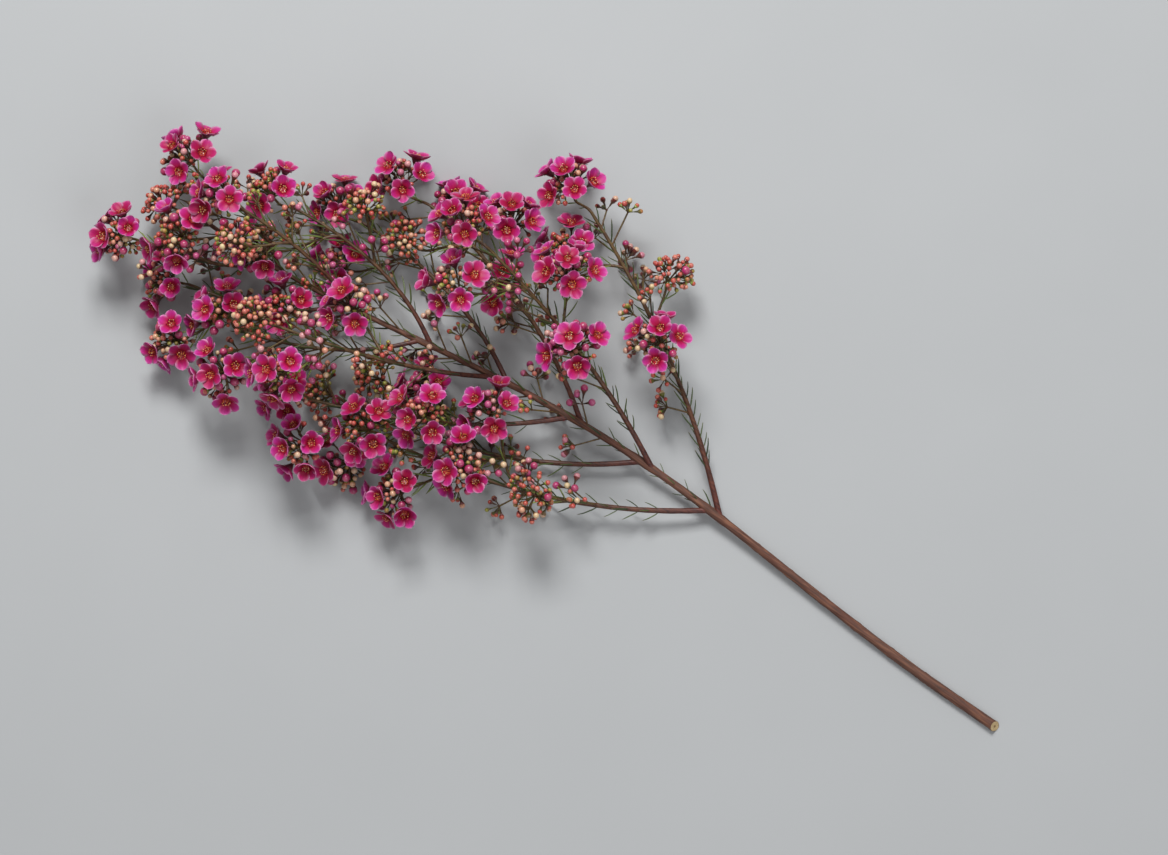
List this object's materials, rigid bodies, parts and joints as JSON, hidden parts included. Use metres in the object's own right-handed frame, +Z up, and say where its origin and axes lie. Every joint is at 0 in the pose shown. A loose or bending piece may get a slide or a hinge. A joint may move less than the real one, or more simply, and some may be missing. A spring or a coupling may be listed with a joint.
{
  "type": "waxflower stem",
  "caption": "Cut stem of waxflower lying on a surface: woody stem, leafy side branches in pairs, heads of small five-petalled flowers and round buds.",
  "frame": {"origin": "centre of the small flat under the cut end of the main stem, on which the stem rests", "axes": "+Y from the cut end along the stem to its tip, +Z up as it lies, +X to the right seen from above"},
  "size_m": [0.2503, 0.5826, 0.0975],
  "materials": {
    "bark": "matte",
    "leafy_twig": "satin",
    "bloom": "waxy"
  },
  "bodies": {
    "root": {"main_stem": "bark", "leafy_branch_01": "leafy_twig", "leafy_branch_02": "leafy_twig", "leafy_branch_03": "leafy_twig", "leafy_branch_04": "leafy_twig", "leafy_branch_05": "leafy_twig", "leafy_branch_06": "leafy_twig", "leafy_branch_07": "leafy_twig", "leafy_branch_08": "leafy_twig", "leafy_branch_09": "leafy_twig", "leafy_branch_10": "leafy_twig", "leafy_branch_11": "leafy_twig", "leafy_branch_12": "leafy_twig", "leafy_branch_13": "leafy_twig", "leafy_branch_14": "leafy_twig", "flower_head_01": "bloom", "flower_head_02": "bloom", "flower_head_03": "bloom", "flower_head_04": "bloom", "flower_head_05": "bloom", "flower_head_06": "bloom", "flower_head_07": "bloom", "flower_head_08": "bloom", "flower_head_09": "bloom", "flower_head_10": "bloom", "flower_head_11": "bloom", "flower_head_12": "bloom", "flower_head_13": "bloom", "flower_head_14": "bloom", "flower_head_15": "bloom", "flower_head_16": "bloom", "flower_head_17": "bloom", "flower_head_18": "bloom", "flower_head_19": "bloom", "flower_head_20": "bloom", "flower_head_21": "bloom", "flower_head_22": "bloom", "flower_head_23": "bloom", "flower_head_24": "bloom", "flower_head_25": "bloom", "flower_head_26": "bloom", "flower_head_27": "bloom", "flower_head_28": "bloom", "flower_head_29": "bloom", "flower_head_30": "bloom", "flower_head_31": "bloom", "flower_head_32": "bloom", "flower_head_33": "bloom", "flower_head_34": "bloom", "flower_head_35": "bloom", "flower_head_36": "bloom", "flower_head_37": "bloom", "flower_head_38": "bloom", "flower_head_39": "bloom", "flower_head_40": "bloom", "flower_head_41": "bloom", "flower_head_42": "bloom", "flower_head_43": "bloom", "flower_head_44": "bloom"}
  },
  "joints": []
}
